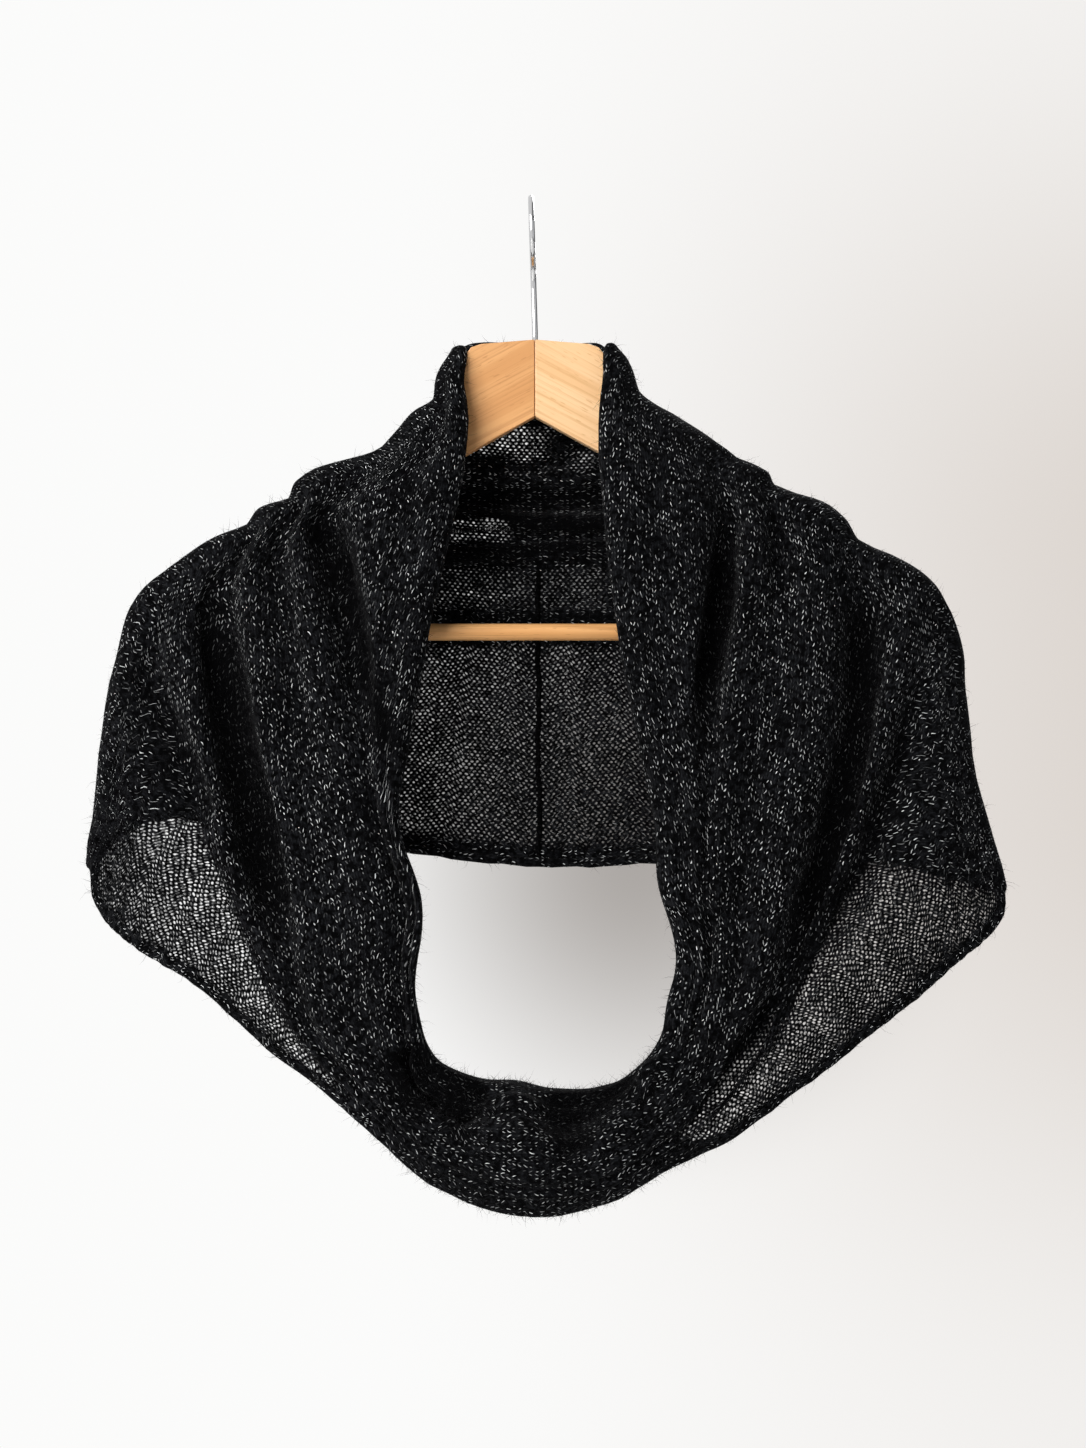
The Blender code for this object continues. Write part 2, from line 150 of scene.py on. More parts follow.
# Five points across the band at each section of the loop, from the neck edge to the hem.
# The last number is the radius of the rolled neck edge.
band = {
    "centreBack": [(2, 24, -80), (2, 25, -104), (2, 26, -166), (2, 26, -272), (2, 24, -387), 5],
    "centreFront": [(4, -16, -510), (4, -42, -523), (5, -55, -543), (5, -50, -565), (5, -38, -582), 6],
    "left": [
        [(-20, 24, -79), (-24, 24, -105), (-45, 24, -172), (-72, 24, -277), (-95, 24, -376), 5],
        [(-37, 17, -81), (-43, 15, -120), (-106, 15, -198), (-172, 19, -280), (-190, 22, -364), 3],
        [(-45, 0, -84), (-52, 0, -122), (-134, 0, -177), (-227, 0, -252), (-257, 0, -387), 2.5],
        [(-35, -26, -141), (-52, -28, -154), (-131, -21, -203), (-217, -15, -276), (-245, -11, -412), 6],
        [(-57, -32, -261), (-77, -34, -271), (-149, -28, -314), (-210, -21, -368), (-229, -15, -427), 8],
        [(-72, -34, -375), (-89, -36, -384), (-132, -32, -405), (-167, -24, -430), (-190, -16, -451), 8],
        [(-61, -32, -454), (-72, -36, -461), (-95, -38, -474), (-115, -32, -486), (-135, -22, -494), 7],
        [(-52, -24, -497), (-56, -40, -508), (-62, -46, -522), (-68, -42, -536), (-77, -32, -546), 6],
        [(-23, -18, -508), (-24, -42, -522), (-26, -52, -541), (-28, -48, -561), (-30, -36, -576), 6],
    ],
    "right": [
        [(25, 24, -80), (29, 24, -105), (49, 24, -172), (77, 24, -277), (99, 24, -384), 5],
        [(41, 17, -81), (46, 15, -118), (110, 15, -194), (180, 19, -275), (196, 22, -382), 3],
        [(49, 0, -83), (58, 0, -111), (144, 0, -174), (236, 0, -246), (276, 0, -400), 2],
        [(38, -26, -141), (57, -28, -152), (139, -21, -206), (229, -15, -275), (264, -11, -421), 6],
        [(49, -32, -261), (71, -34, -274), (154, -28, -315), (216, -21, -380), (243, -15, -440), 8],
        [(70, -34, -372), (91, -36, -382), (142, -32, -412), (180, -24, -444), (205, -16, -472), 8],
        [(81, -32, -452), (96, -36, -462), (116, -38, -477), (134, -32, -495), (150, -22, -510), 7],
        [(67, -24, -500), (71, -40, -511), (74, -46, -525), (78, -42, -540), (82, -32, -552), 6],
        [(38, -18, -510), (39, -42, -522), (41, -52, -541), (44, -48, -560), (46, -36, -574), 6],
    ],
    "crest": 2,  # the row above that lies over the arm
    "turnDepth": 11.0,  # the turn over the arm, in front of the crest and behind
    "turnDrop": 5.0,
    "turnShare": (0.9, 1.15, 1.1, 1.1, 0.9),
    "columns": 340,  # mesh columns round the loop
    "foldSteps": 9,  # mesh rows between a ridge and its valley
    "pathSteps": 16,
    "rollRows": 9,
    "rollTurn": math.radians(165),
    "hemRows": 8,
    "hemTurn": math.radians(290),
    "hemRadius": 2.9,
    "hemTighter": 0.35,  # share of the radius lost by the end of the roll
    "hemUneven": 0.22,  # of the hem's radius
    "hemClosed": 1.0,  # no pinholes this close to the hem
    "neckGuide": 3,  # the row that the rolled neck edge turns away from
    "neckPasses": 14,  # evening of the rolled edge's direction
    "thickness": 1.0,
    "courseLength": 3.2,
    "waleWidth": 3.9,
    "lengthPasses": 60,  # evening of the stitch lengths across the rows
    "chartsMeet": 4,  # sections from the centre back to where the stitch charts meet
    "apart": 3200.0,  # between the stitch charts of the front and the back
    "walesApart": 200,  # between one chart and the next
}

# Sections from the centre back over which the front's or the back's own work starts or ends
reaches = {"front": (4.3, 5.2), "back": (2.8, 3.7), "pulledBack": (2.8, 4.0), "openFront": (3.6, 4.6)}

# Ridges and valleys from the neck edge to the hem. Each row has its share of the width at the centre back,
# crest, upper front, chest, waist, lower, corner and centre, then its height at the centre back, crest,
# upper front, waist and cowl, and some have a shift towards the hem at those five.
placeColumns = (0, 4, 6, 7, 8, 9, 10, 12)
riseColumns = (0, 4, 6, 8, 11)
folds = {
    "left": [
        ((0, 0, 0, 0, 0, 0, 0, 0), (0, 0, 0, 0, 0)),
        ((.03, .03, .03, .03, .012, .02, .07, .07), (2, 2, 2, 2, 1)),
        ((.10, .09, .093, .08, .025, .04, .14, .14), (-3, 0, -1, 0, 0)),
        ((.17, .13, .150, .12, .04, .07, .21, .21), (3, 4, 3, 1, 1)),
        ((.25, .20, .262, .175, .06, .10, .29, .29), (-4, 2, -4, -3, -2)),
        ((.30, .335, .318, .25, .15, .24, .45, .45), (3, 6, 4, 3, 1), (0, 1.5, -2, -1, 0)),
        ((.335, .365, .358, .34, .33, .44, .59, .59), (-2, 1, -3, -2, -1)),
        ((.37, .405, .408, .425, .48, .66, .73, .73), (2, 6, 5, 4, 2), (0, 1, 0, 0, 0)),
        ((.41, .438, .459, .50, .571, .75, .80, .80), (-2, 1, -4, -4, -1)),
        ((.46, .50, .513, .589, .671, .82, .86, .86), (2, 6, 4, 3, 1), (0, 1, -1, -1, 0)),
        ((.52, .575, .609, .65, .75, .88, .91, .91), (-1, 3, -3, -2, -1)),
        ((.65, .70, .75, .80, .86, .94, .96, .96), (1, 4, 3, 1, 0)),
        ((1, 1, 1, 1, 1, 1, 1, 1), (0, 0, 0, 0, 0), (0, 0, 4, 4, 3)),
    ],
    "right": [
        ((0, 0, 0, 0, 0, 0, 0, 0), (0, 0, 0, 0, 0)),
        ((.03, .025, .03, .036, .04, .05, .07, .07), (2, 3, 2, 2, 1)),
        ((.10, .080, .092, .085, .08, .10, .14, .14), (-3, 0, -1, 0, 0)),
        ((.17, .170, .160, .145, .125, .14, .21, .21), (3, 5, 4, 2, 1), (0, 0, 1, 0, 0)),
        ((.25, .250, .228, .208, .165, .18, .28, .29), (-4, 3, -5, -2, -2)),
        ((.30, .293, .280, .26, .22, .27, .43, .45), (3, 6, 4, 3, 1), (0, 1.5, -2, 0, 0)),
        ((.335, .318, .32, .32, .31, .36, .53, .59), (-2, 1, -2, -1, -1)),
        ((.37, .430, .395, .439, .44, .46, .65, .73), (2, 6, 4, 4, 2), (0, 1, 0, 0, 0)),
        ((.41, .457, .475, .54, .57, .61, .73, .80), (-2, 2, -4, -4, -1)),
        ((.46, .530, .545, .60, .63, .68, .79, .86), (2, 6, 4, 3, 1), (0, 0, -1, -1, 0)),
        ((.52, .600, .61, .665, .69, .75, .85, .91), (-1, 3, -3, -3, -1)),
        ((.65, .72, .76, .80, .82, .88, .93, .96), (1, 4, 3, 2, 0)),
        ((1, 1, 1, 1, 1, 1, 1, 1), (0, 0, 0, 0, 0), (0, 0, 3, 3, 3)),
    ],
}
chartStarts = (0, 4, 6, 8, 10)  # folds at which the knit pattern may shift, in a valley

# Troughs and, with a negative depth, ridges, each drawn as a depth, a width and a line of x and z.
# Some fade in or out over another share of the line, or have their own strength of painted shade.
creases = {
    "front": [
        # Beside the left collar
        (13, 10, [(-124, -170), (-116, -203), (-106, -232), (-95, -276), (-83, -311), (-71, -337)]),
        (4, 5, [(-101, -184), (-104, -209), (-105, -234)]),
        (4, 6, [(-147, -184), (-144, -215), (-138, -255), (-127, -324)]),
        # Long trough of the left shoulder
        (15, 12, [(-182, -198), (-183, -253), (-174, -300), (-161, -347), (-150, -393),
                  (-132, -456)], {"fadeIn": 0.3, "fadeOut": 0.35}),
        (7, 8, [(-227, -266), (-213, -289), (-200, -318), (-192, -342), (-183, -372)]),
        # Beside the right collar
        (15, 8, [(115, -158), (114, -192), (111, -221), (106, -255), (101, -284),
                 (98, -328)], {"fadeIn": 0.45, "fadeOut": 0.35}),
        (-3, 5, [(124, -190), (121, -221), (116, -255), (110, -284), (106, -320)], {"fadeOut": 0.4}),
        (5, 6, [(140, -184), (143, -215), (147, -240)]),
        # Long trough of the right shoulder
        (13, 11, [(189, -212), (193, -249), (192, -284), (189, -315), (180, -341), (172, -376), (160, -410),
                  (152, -439), (143, -462)], {"fadeOut": 0.3}),
        (9, 9, [(232, -264), (215, -324), (203, -353), (195, -381), (177, -410), (163, -430), (149, -459),
                (112, -496), (86, -528)], {"fadeOut": 0.1}),
        (4, 6, [(84, -438), (97, -422), (119, -404), (138, -393)]),
        # In and around the cowl
        (5, 17, [(-76, -484), (-66, -508), (-50, -526)], {"shade": 1.2}),
        (5, 14, [(-56, -494), (-38, -508), (-22, -513)], {"shade": 0.95}),
        (7, 15, [(8, -506), (28, -516), (48, -510), (64, -500)], {"shade": 1.0}),
        (7, 11, [(14, -512), (21, -532), (32, -548)], {"shade": 1.1}),
        (-7, 8, [(80, -488), (66, -512), (46, -534), (26, -552)]),
        (9, 11, [(-69, -484), (-60, -510), (-46, -527), (-24, -543)]),
        (12, 8, [(-22, -512), (-36, -522), (-52, -528)], {"fadeIn": 0.1}),
        (-3.5, 9, [(-9, -506), (-4, -538), (4, -566)], {"fadeIn": 0.3}),
    ],
    "back": [
        # Gathers that show through the neck opening
        (5, 5, [(-70, -188), (-20, -183), (30, -186), (80, -180)], {"shade": 0.9}),
        (-5, 7, [(-70, -172), (-20, -170), (30, -172), (80, -166)], {"shade": 0.7}),
        (5, 4, [(-70, -207), (-15, -203), (30, -199), (80, -196)], {"shade": 0.9}),
        (-3, 4, [(-70, -214), (-15, -210), (30, -207), (80, -204)], {"shade": 0.6}),
        (4, 4, [(-70, -243), (0, -242), (80, -241)], {"shade": 0.8}),
        # Hidden side, beyond the opening
        (7, 11, [(-84, -150), (-98, -205), (-113, -270), (-124, -345),
                 (-128, -385)], {"fadeIn": 0.4, "fadeOut": 0.3}),
        (6, 9, [(-132, -180), (-161, -240), (-184, -310), (-196, -360)], {"fadeIn": 0.5}),
        (-3, 8, [(-112, -190), (-138, -260), (-157, -340)], {"fadeIn": 0.3}),
        (4, 7, [(-190, -235), (-219, -290), (-233, -340)], {"fadeIn": 0.4}),
        (7, 10, [(94, -160), (112, -225), (121, -290), (126, -360),
                 (127, -390)], {"fadeIn": 0.4, "fadeOut": 0.3}),
        (5, 9, [(150, -190), (176, -255), (192, -330), (199, -372)], {"fadeIn": 0.5}),
        (-3, 7, [(128, -205), (151, -270), (160, -350)], {"fadeIn": 0.3}),
        (4, 8, [(208, -250), (236, -310), (249, -362)], {"fadeIn": 0.4}),
    ],
}
creaseFade = 0.2
creaseShade = 14  # the depth of a crease in full shade
creaseFromNeck = (0.03, 0.24)  # shares of the width over which creases start

# Soft pulls on the hanging shape: where in x and z, how far in x and z, and over what reach
pulls = {
    "all": [
        (-165, -190, 0, 8, 58), (-215, -225, -3, 7, 28), (-235, -235, -5, 3, 30), (-115, -162, 0, 4, 28),
        (-79, -127, -2, 3, 18), (150, -185, 0, 5.5, 60), (168, -180, 0, 5, 24), (85, -145, 0, 3.5, 28),
        (218, -232, 2, 5, 28), (236, -228, 3, 2, 26), (264, -305, -8, 0, 42), (250, -250, 4, 0, 26),
        (264, -345, -4, 0, 26), (278, -408, 5, -1, 17), (282, -398, -3, 1, 8), (-260, -390, -4, 0, 26),
        (-261, -386, 3.5, 0, 9), (-50, -109, -7, 0.5, 16), (53, -107, 3, 0, 14), (-62, -122, -1, 6, 24),
        (62, -112, 0, 4, 24),
    ],
    "back": [
        (-225, -378, 0, 15, 32),
    ],
    "front": [
        (-70, -404, 14.5, 0, 33), (80, -398, -4.5, 0, 22), (82, -466, -6, 0, 20), (-148, -489, -3, -5, 42),
        (-66, -570, -2, -4, 28), (179, -513, 1, -2.5, 34), (117, -545, 3, -5.5, 40), (-44, -499, 0, 5, 22),
        (-9, -508, 0, 4, 12), (68, -497, -3, 8, 20),
    ],
}

# Unevenness of hand: size across and height
wobble = {"wide": (34, 1.6), "fine": (11, 0.6), "fineTall": 0.55, "fineFrom": (7, 3, 5)}

# Where single cloth lets light through its pinholes: beyond these lines of x and z on the front,
# and in these patches of the back, each with its low and high corner in x and z and its openness
seeThrough = {
    "left": [(-187, -240), (-187, -366), (-173, -389), (-158, -433), (-146, -460), (-131, -482),
             (-104, -516)],
    "right": [(222, -240), (215, -324), (195, -381), (177, -410), (149, -459), (114, -496), (84, -535)],
    "top": [(-264, -368), (-240, -357), (-187, -350), (190, -380), (215, -382), (280, -398)],
    "soft": 6.0,
    "panelPlaces": (-262, -215, -190, 190, 235, 282),
    "panel": (0.84, 0.92, 0.98, 0.92, 0.87, 0.85),
    "gathered": 0.10,
    "back": 0.10,
    "backPatches": [
        (-140, -400, 150, -256, 0.79), (-58, -238, 46, -210, 0.68), (-56, -231, -10, -225, 0.86),
        (-56, -207, -18, -201, 0.5), (-56, -197, -5, -184, 0.88), (-5, -194, 16, -184, 0.5),
        (14, -204, 46, -192, 0.34), (-40, -175, 36, -161, 0.36), (-18, -158, 12, -152, 0.7),
        (-40, -149, 14, -128, 0.92), (19, -156, 42, -140, 0.82),
    ],
    "patchSoft": (9, 2),
    "backWander": 5.0,
    "wanderSize": (17, 8),
}


def turnSection(points, side):
    along = unit(np.gradient(points, axis=0))
    inward = np.stack([along[:, 2], np.zeros(len(points)), -along[:, 0]], axis=1)
    inward *= np.sign(-inward[:, 0] * points[:, 0])[:, None]
    share = np.array(band["turnShare"])[:, None]
    return points + inward * band["turnDrop"] * share + np.array([0, side * band["turnDepth"], 0]) * share


def halfSections(side):
    sections = []
    for index, row in enumerate([band["centreBack"]] + band[side] + [band["centreFront"]]):
        points, radius = np.array(row[:-1], float), row[-1]
        section = (points, radius)
        if index == band["crest"] + 1:
            sections += [(turnSection(points, 1), radius), section, (turnSection(points, -1), radius)]
        else:
            sections.append(section)
    return sections


# Sections round the loop: centre front, up the left side, centre back and down the right side
sections = halfSections("left")[::-1] + halfSections("right")[1:-1]
ring = np.array([points for points, radius in sections])
ringRadii = np.array([radius for points, radius in sections], float)
halfRing = len(ring) // 2


# Mesh columns are spread by the length of the loop at mid width
def columnPlaces():
    closed = np.vstack([ring[:, 2], ring[:1, 2]])
    length = travelled(closed)
    wanted = np.linspace(0, length[-1], band["columns"] + 1)
    return np.interp(wanted, length, np.arange(len(closed)))


# Share, height and lean of every fold at every column
def foldTable(places):
    reach = np.abs(halfRing - places)
    table = []
    for kind, knots in enumerate((placeColumns, riseColumns, riseColumns)):
        sides = []
        for side in ("left", "right"):
            rows = [row[kind] if len(row) > kind else (0,) * len(knots) for row in folds[side]]
            sides.append(np.array([easeBetween(knots, row, reach) for row in rows]))
        table.append(np.where(places < halfRing, *sides))
    return table


# And of every mesh row
def foldRows(places):
    shares, rises, leans = foldTable(places)
    steps = band["foldSteps"]
    share = np.zeros((len(places), (len(shares) - 1) * steps + 1))
    rise, lean = share.copy(), share.copy()
    for index in range(len(shares) - 1):
        up = rises[index + 1] > rises[index]
        for step in range(steps + 1):
            f = step / steps
            wave = f * f * (3 - 2 * f)
            sharp = np.where(up, math.sin(f * math.pi / 2), 1 - math.cos(f * math.pi / 2))
            row = index * steps + step
            share[:, row] = mix(shares[index], shares[index + 1], f)
            rise[:, row] = mix(rises[index], rises[index + 1], sharp * 0.5 + wave * 0.5)
            lean[:, row] = mix(leans[index], leans[index + 1], wave)
    return share, rise, lean


# The band without its folds: each section is one smooth path, read at the shares of its length
def smoothBand(places, shares):
    count = len(ring)
    index = np.floor(places + tiny).astype(int)
    fraction = places - index
    four = [ring[(index + offset) % count] for offset in (-1, 0, 1, 2)]
    across = splinePoint(*four, fraction[:, None, None])
    rolls = mix(ringRadii[index % count], ringRadii[(index + 1) % count], fraction)
    before, after = 2 * across[:, :1] - across[:, 1:2], 2 * across[:, -1:] - across[:, -2:-1]
    ends = np.concatenate([before, across, after], axis=1)
    samples = []
    for k in range(across.shape[1] - 1):
        corners = [ends[:, k + offset] for offset in range(4)]
        samples += [splinePoint(*corners, step / band["pathSteps"]) for step in range(band["pathSteps"])]
    path = np.stack(samples + [across[:, -1]], axis=1)
    length = travelled(path, 1)
    points = np.zeros(shares.shape + (3,))
    for column in range(len(places)):
        usable = length[column, -1] - rolls[column] - band["hemRadius"]
        wanted = rolls[column] + shares[column] * usable
        for axis in range(3):
            points[column, :, axis] = np.interp(wanted, length[column], path[column, :, axis])
    return points, rolls


def surfaceNormals(grid):
    around = np.empty_like(grid)  # the last column repeats the first
    around[1:-1] = grid[2:] - grid[:-2]
    around[0] = around[-1] = grid[1] - grid[-2]
    return unit(np.cross(around, np.gradient(grid, axis=1)))


# Distance from points to a line of x and z, and how far along it they lie
def lineDistance(x, z, line):
    line = np.array(line, float)
    best = np.full(x.shape, 1e9)
    along = np.zeros(x.shape)
    passed = travelled(line)
    for index, (start, step) in enumerate(zip(line, np.diff(line, axis=0))):
        f = np.clip(((x - start[0]) * step[0] + (z - start[1]) * step[1]) / (step @ step), 0, 1)
        distance = np.hypot(x - start[0] - f * step[0], z - start[1] - f * step[1])
        nearer = distance < best
        best = np.where(nearer, distance, best)
        along = np.where(nearer, mix(passed[index], passed[index + 1], f) / passed[-1], along)
    return best, along


# How far each column belongs to one of the reaches, counted from the centre back
def beyondBack(name, places):
    return smooth(*reaches[name], np.abs(halfRing - places)[:, None])


def addCreases(points, normals, places, shares):
    # Each trough also gives a painted shade, which darkens the yarn and dims the flecks in the material
    paintedShade = np.zeros(shares.shape)
    fromNeck = smooth(*creaseFromNeck, shares)
    sides = {"front": beyondBack("front", places), "back": 1 - beyondBack("back", places)}
    for side, inside in sides.items():
        for depth, width, line, *own in creases[side]:
            own = own[0] if own else {}
            distance, along = lineDistance(points[..., 0], points[..., 2], line)
            taper = (smooth(0, own.get("fadeIn", creaseFade), along)
                     * smooth(0, own.get("fadeOut", creaseFade), 1 - along))
            pressed = np.exp(-(distance / width) ** 2) * taper * inside
            points = points - normals * (depth * pressed * fromNeck)[..., None]
            paintedShade = np.maximum(paintedShade, own.get("shade", depth / creaseShade) * pressed)
    return points, paintedShade


def addPulls(points, places):
    sides = {"all": 1, "back": 1 - beyondBack("pulledBack", places), "front": beyondBack("front", places)}
    for side, inside in sides.items():
        for x, z, moveX, moveZ, width in pulls[side]:
            weight = np.exp(-((points[..., 0] - x) ** 2 + (points[..., 2] - z) ** 2) / width ** 2) * inside
            points = points + weight[..., None] * np.array([moveX, 0, moveZ])
    return points


def addWobble(points, normals):
    (wideSize, wideHeight), (fineSize, fineHeight) = wobble["wide"], wobble["fine"]
    height = []
    for x, y, z in points.reshape(-1, 3):
        wide = noise.noise(Vector((x, y, z)) / wideSize)
        fine = noise.noise(Vector((x, y, z * wobble["fineTall"])) / fineSize + Vector(wobble["fineFrom"]))
        height.append(wide * wideHeight + fine * fineHeight)
    return points + normals * np.array(height).reshape(points.shape[:2])[..., None]


# Evens directions out over neighbouring columns of the closed loop
def evened(rows, passes):
    for _ in range(passes):
        around = np.concatenate([rows[-2:-1], rows, rows[1:2]])
        rows = (around[:-2] + around[1:-1] * 2 + around[2:]) / 4
    return unit(rows)


# Rows of points round a rolled edge, counted from the cloth
def rolledEdge(kind, edge, along, out, radius, tighter=0.0):
    turn, count = band[kind + "Turn"], band[kind + "Rows"]
    centre = edge - out * radius
    rows = []
    for step in range(1, count + 1):
        angle = turn * step / count
        offset = math.sin(angle) * along + math.cos(angle) * out
        rows.append(centre + offset * radius * (1 - tighter * step / count))
    return rows


# Middle surface of the knitted band with both rolled edges
def bandSurface():
    places = columnPlaces()
    shares, rises, leans = foldRows(places)
    base, rolls = smoothBand(places, shares)
    across = unit(np.gradient(base, axis=1))
    lifted = base + surfaceNormals(base) * rises[..., None] + across * leans[..., None]
    lifted, paintedShade = addCreases(lifted, surfaceNormals(lifted), places, shares)
    lifted = addPulls(lifted, places)
    lifted = addWobble(lifted, surfaceNormals(lifted))
    normals = surfaceNormals(lifted)
    neckAlong = evened(unit(lifted[:, band["neckGuide"]] - lifted[:, 0]), band["neckPasses"])
    neckOut = evened(normals[:, 0], band["neckPasses"])
    neck = rolledEdge("roll", lifted[:, 0], -neckAlong, neckOut, rolls[:, None])[::-1]
    uneven = 1 + band["hemUneven"] * np.sin(places * 23) * np.sin(places * 7.3)
    hem = rolledEdge("hem", lifted[:, -1], unit(lifted[:, -1] - lifted[:, -2]), normals[:, -1],
                     band["hemRadius"] * uneven[:, None], band["hemTighter"])
    surface = np.concatenate([np.stack(neck, axis=1), lifted, np.stack(hem, axis=1)], axis=1)
    paintedShade = np.pad(paintedShade, ((0, 0), (band["rollRows"], band["hemRows"])), mode="edge")
    return places, surface, paintedShade


# Length along each row of the mesh, so that stitches keep their size. The front is measured from
# the centre front both ways and the back from the centre back, and they meet over the hanger's arms.
def lengthsAlong(places, surface):
    reach = travelled(surface)
    for _ in range(band["lengthPasses"]):
        padded = np.pad(reach, ((0, 0), (1, 1)), mode="edge")
        reach = (padded[:, :-2] + padded[:, 1:-1] * 2 + padded[:, 2:]) / 4
    middle = int(np.argmin(np.abs(places - halfRing)))
    onBack = np.abs((places[:-1] + places[1:]) / 2 - halfRing) < band["chartsMeet"]
    area = np.where(onBack, 2, np.where(places[:-1] < halfRing, 0, 1))
    return np.stack([reach, reach - reach[-1:], reach - reach[middle:middle + 1] + band["apart"]]), area


# Distance across the band and where each chart counts it from, near its ridge, so that the wales
# run along the folds
def knitPattern(surface):
    rows = surface.shape[1]
    reach = travelled(surface, 1)
    starts = [0] + [band["rollRows"] + fold * band["foldSteps"] for fold in chartStarts[1:]] + [rows - 1]
    chartOfRow = np.zeros(rows - 1, int)
    offsets = []
    for chart, (first, last) in enumerate(zip(starts, starts[1:])):
        chartOfRow[first:last] = chart
        middle = first if chart == 0 else last if chart == len(starts) - 2 else (first + last) // 2
        offsets.append(reach[:, middle])
    return reach, chartOfRow, offsets


# How far the pinholes are open, from 0 to 1
def opennessMap(places, surface):
    x, z = surface[..., 0], surface[..., 2]
    soft, shut = seeThrough["soft"], seeThrough["back"]
    beyond = np.zeros(x.shape)
    for name, side in (("left", -1), ("right", 1)):
        line = np.array(seeThrough[name][::-1], float)
        edge = np.interp(z, line[:, 1], line[:, 0])
        beyond = np.maximum(beyond, smooth(-soft, soft, (x - edge) * side) * (z > line[0, 1] - soft))
    top = np.array(seeThrough["top"], float)
    below = smooth(-soft, soft, np.interp(x, top[:, 0], top[:, 1]) - z)
    panel = np.interp(x, seeThrough["panelPlaces"], seeThrough["panel"])
    front = mix(seeThrough["gathered"], panel, beyond * below)
    wide, tall = seeThrough["wanderSize"]
    stray = np.array([noise.noise(Vector((a / wide, b / tall, 4.2))) for a, b in zip(x.flat, z.flat)])
    stray = stray.reshape(x.shape)
    strayX, strayZ = x + stray * seeThrough["backWander"] * 2, z + stray * seeThrough["backWander"]
    endSoft, soft = seeThrough["patchSoft"]
    back = np.full(x.shape, shut)
    for left, bottom, right, upper, isOpen in seeThrough["backPatches"]:
        inside = (smooth(-endSoft, endSoft, strayX - left) * smooth(-endSoft, endSoft, right - strayX)
                  * smooth(-soft, soft, strayZ - bottom) * smooth(-soft, soft, upper - strayZ))
        back = np.maximum(back, mix(shut, isOpen, inside))
    result = mix(back, front, beyondBack("openFront", places))
    fromHem = travelled(surface[:, ::-1], 1)[:, ::-1] - band["hemRadius"] * band["hemTurn"]
    result = result * smooth(-1, 2, fromHem - band["hemClosed"])
    result[:, :band["rollRows"] + 2] = 0
    return result


def makeCloth():
    places, surface, paintedShade = bandSurface()
    data, column, row = gridData("scarf_knit", surface)
    reach, chartOfRow, offsets = knitPattern(surface)
    corners = np.zeros(len(data.loops), int)
    data.loops.foreach_get("vertex_index", corners)
    faceRow = row[corners].reshape(-1, 4).min(axis=1)
    faceColumn = column[corners].reshape(-1, 4).min(axis=1)
    chart = np.repeat(chartOfRow[faceRow], 4)
    lengths, area = lengthsAlong(places, surface)
    at = column[corners], row[corners]
    along = lengths[(np.repeat(area[faceColumn], 4), *at)]
    across = reach[at] - np.stack(offsets)[chart, at[0]]
    uv = np.stack([along, across + chart * band["waleWidth"] * band["walesApart"]], axis=1)
    data.uv_layers.new(name="knit").data.foreach_set("uv", (uv * mm).ravel())
    for name, values in (("openness", opennessMap(places, surface)), ("paintedShade", paintedShade)):
        attribute = data.attributes.new(name, "FLOAT", "POINT")
        attribute.data.foreach_set("value", values[column, row].astype(np.float32))
    mesh = bmesh.new()
    mesh.from_mesh(data)
    bmesh.ops.remove_doubles(mesh, verts=mesh.verts, dist=sameSpot)
    bmesh.ops.reverse_faces(mesh, faces=mesh.faces)
    mesh.to_mesh(data)
    mesh.free()
    data.shade_smooth()
    made = addObject("scarf_knit", data)
    wall = made.modifiers.new("Knit thickness", "SOLIDIFY")
    wall.thickness = band["thickness"] * mm
    wall.offset = 0
    print("cloth", surface.shape[0] - 1, "columns", surface.shape[1] - 1, "rows")
    return made, places, surface


# A socket takes a link from another socket, or a plain value
def feed(socket, value):
    if isinstance(value, bpy.types.NodeSocket):
        socket.id_data.links.new(value, socket)
    else:
        socket.default_value = value


# Links or values for a node's inputs, in their order or by name or number
def feedAll(node, values):
    for key, value in values.items() if isinstance(values, dict) else enumerate(values):
        feed(node.inputs[key], value)


def addNode(tree, kind, values=(), **settings):
    node = tree.nodes.new(kind)
    for key, value in settings.items():
        setattr(node, key, value)
    feedAll(node, values)
    return node


# Arithmetic in the node tree that the first socket among the values belongs to
def calc(operation, *values, clamp=False):
    tree = next(value.id_data for value in values if isinstance(value, bpy.types.NodeSocket))
    return addNode(tree, "ShaderNodeMath", values, operation=operation, use_clamp=clamp).outputs[0]


plus, minus, times = partial(calc, "ADD"), partial(calc, "SUBTRACT"), partial(calc, "MULTIPLY")
over, power = partial(calc, "DIVIDE"), partial(calc, "POWER")
scaled = partial(calc, "MULTIPLY_ADD")  # of a value, its factor and what is added


# A noise of 0 to 1 as a stray to both sides
def spread(value, reach):
    return scaled(value, 2 * reach, -reach)


def squares(first, second):
    return plus(power(first, 2.0), power(second, 2.0))


# Place within each whole step, from -0.5 to 0.5
def centred(value):
    return minus(calc("FRACT", value), 0.5)


# A round hump over a centred place
def hump(value, exponent):
    rim = power(calc("ABSOLUTE", times(value, 2.0)), exponent)
    return calc("MAXIMUM", minus(1.0, rim), 0.0)


def ramp(value, fromLow, fromHigh, toLow=0.0, toHigh=1.0):
    node = addNode(value.id_data, "ShaderNodeMapRange", (value, fromLow, fromHigh, toLow, toHigh),
                   interpolation_type="SMOOTHSTEP")
    return node.outputs[0]


def blendColour(share, first, second):
    node = addNode(share.id_data, "ShaderNodeMix", {0: share, 6: first, 7: second}, data_type="RGBA")
    return node.outputs[2]


def noiseAt(place, scale, detail=2.0, roughness=0.5):
    node = addNode(place.id_data, "ShaderNodeTexNoise",
                   {"Vector": place, "Scale": scale, "Detail": detail, "Roughness": roughness})
    return node.outputs[0]


